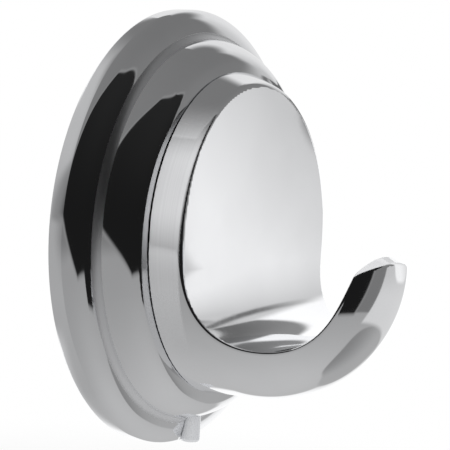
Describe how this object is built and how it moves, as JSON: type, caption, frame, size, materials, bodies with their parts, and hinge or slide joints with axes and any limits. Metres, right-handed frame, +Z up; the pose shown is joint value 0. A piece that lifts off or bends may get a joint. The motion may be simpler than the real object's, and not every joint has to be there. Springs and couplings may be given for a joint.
{
  "type": "wall hook",
  "caption": "Round chromed wall hook: a stepped rosette with a scooped hook body, fixed over a hidden wall bracket by a set screw underneath.",
  "frame": {"origin": "centre of the wall bracket's back face, on the wall's surface", "axes": "+Z up, -Y straight out of the wall, +X to the right of someone who faces the wall"},
  "size_m": [0.0762, 0.0649, 0.0762],
  "materials": {
    "rosette_chrome": "polished chrome plate",
    "hook_chrome": "polished chrome plate",
    "retaining_screw_zinc": "zinc plated steel",
    "washer_zinc": "zinc plated steel",
    "lock_washer_steel": "spring steel",
    "bracket_zinc": "raw zinc casting",
    "wall_screw_zinc": "zinc plated steel",
    "anchor_nylon": "moulded nylon",
    "set_screw_steel": "plain bright steel"
  },
  "bodies": {
    "bracket": {"wall_bracket": "bracket_zinc", "wall_screw_upper": "wall_screw_zinc", "wall_screw_lower": "wall_screw_zinc", "wall_anchor_upper": "anchor_nylon", "wall_anchor_lower": "anchor_nylon"},
    "cover": {"rosette": "rosette_chrome", "hook_body": "hook_chrome", "retaining_screw": "retaining_screw_zinc", "retaining_washer": "washer_zinc", "lock_washer": "lock_washer_steel"},
    "set_screw": {"set_screw": "set_screw_steel"}
  },
  "joints": [
    {"name": "cover_slide", "type": "slide", "parent": "bracket", "child": "cover", "axis": [0, -1, 0], "range_m": [0, 0.025]},
    {"name": "set_screw_travel", "type": "slide", "parent": "cover", "child": "set_screw", "axis": [0, 0, 1], "range_m": [-0.0015, 0.003]}
  ]
}
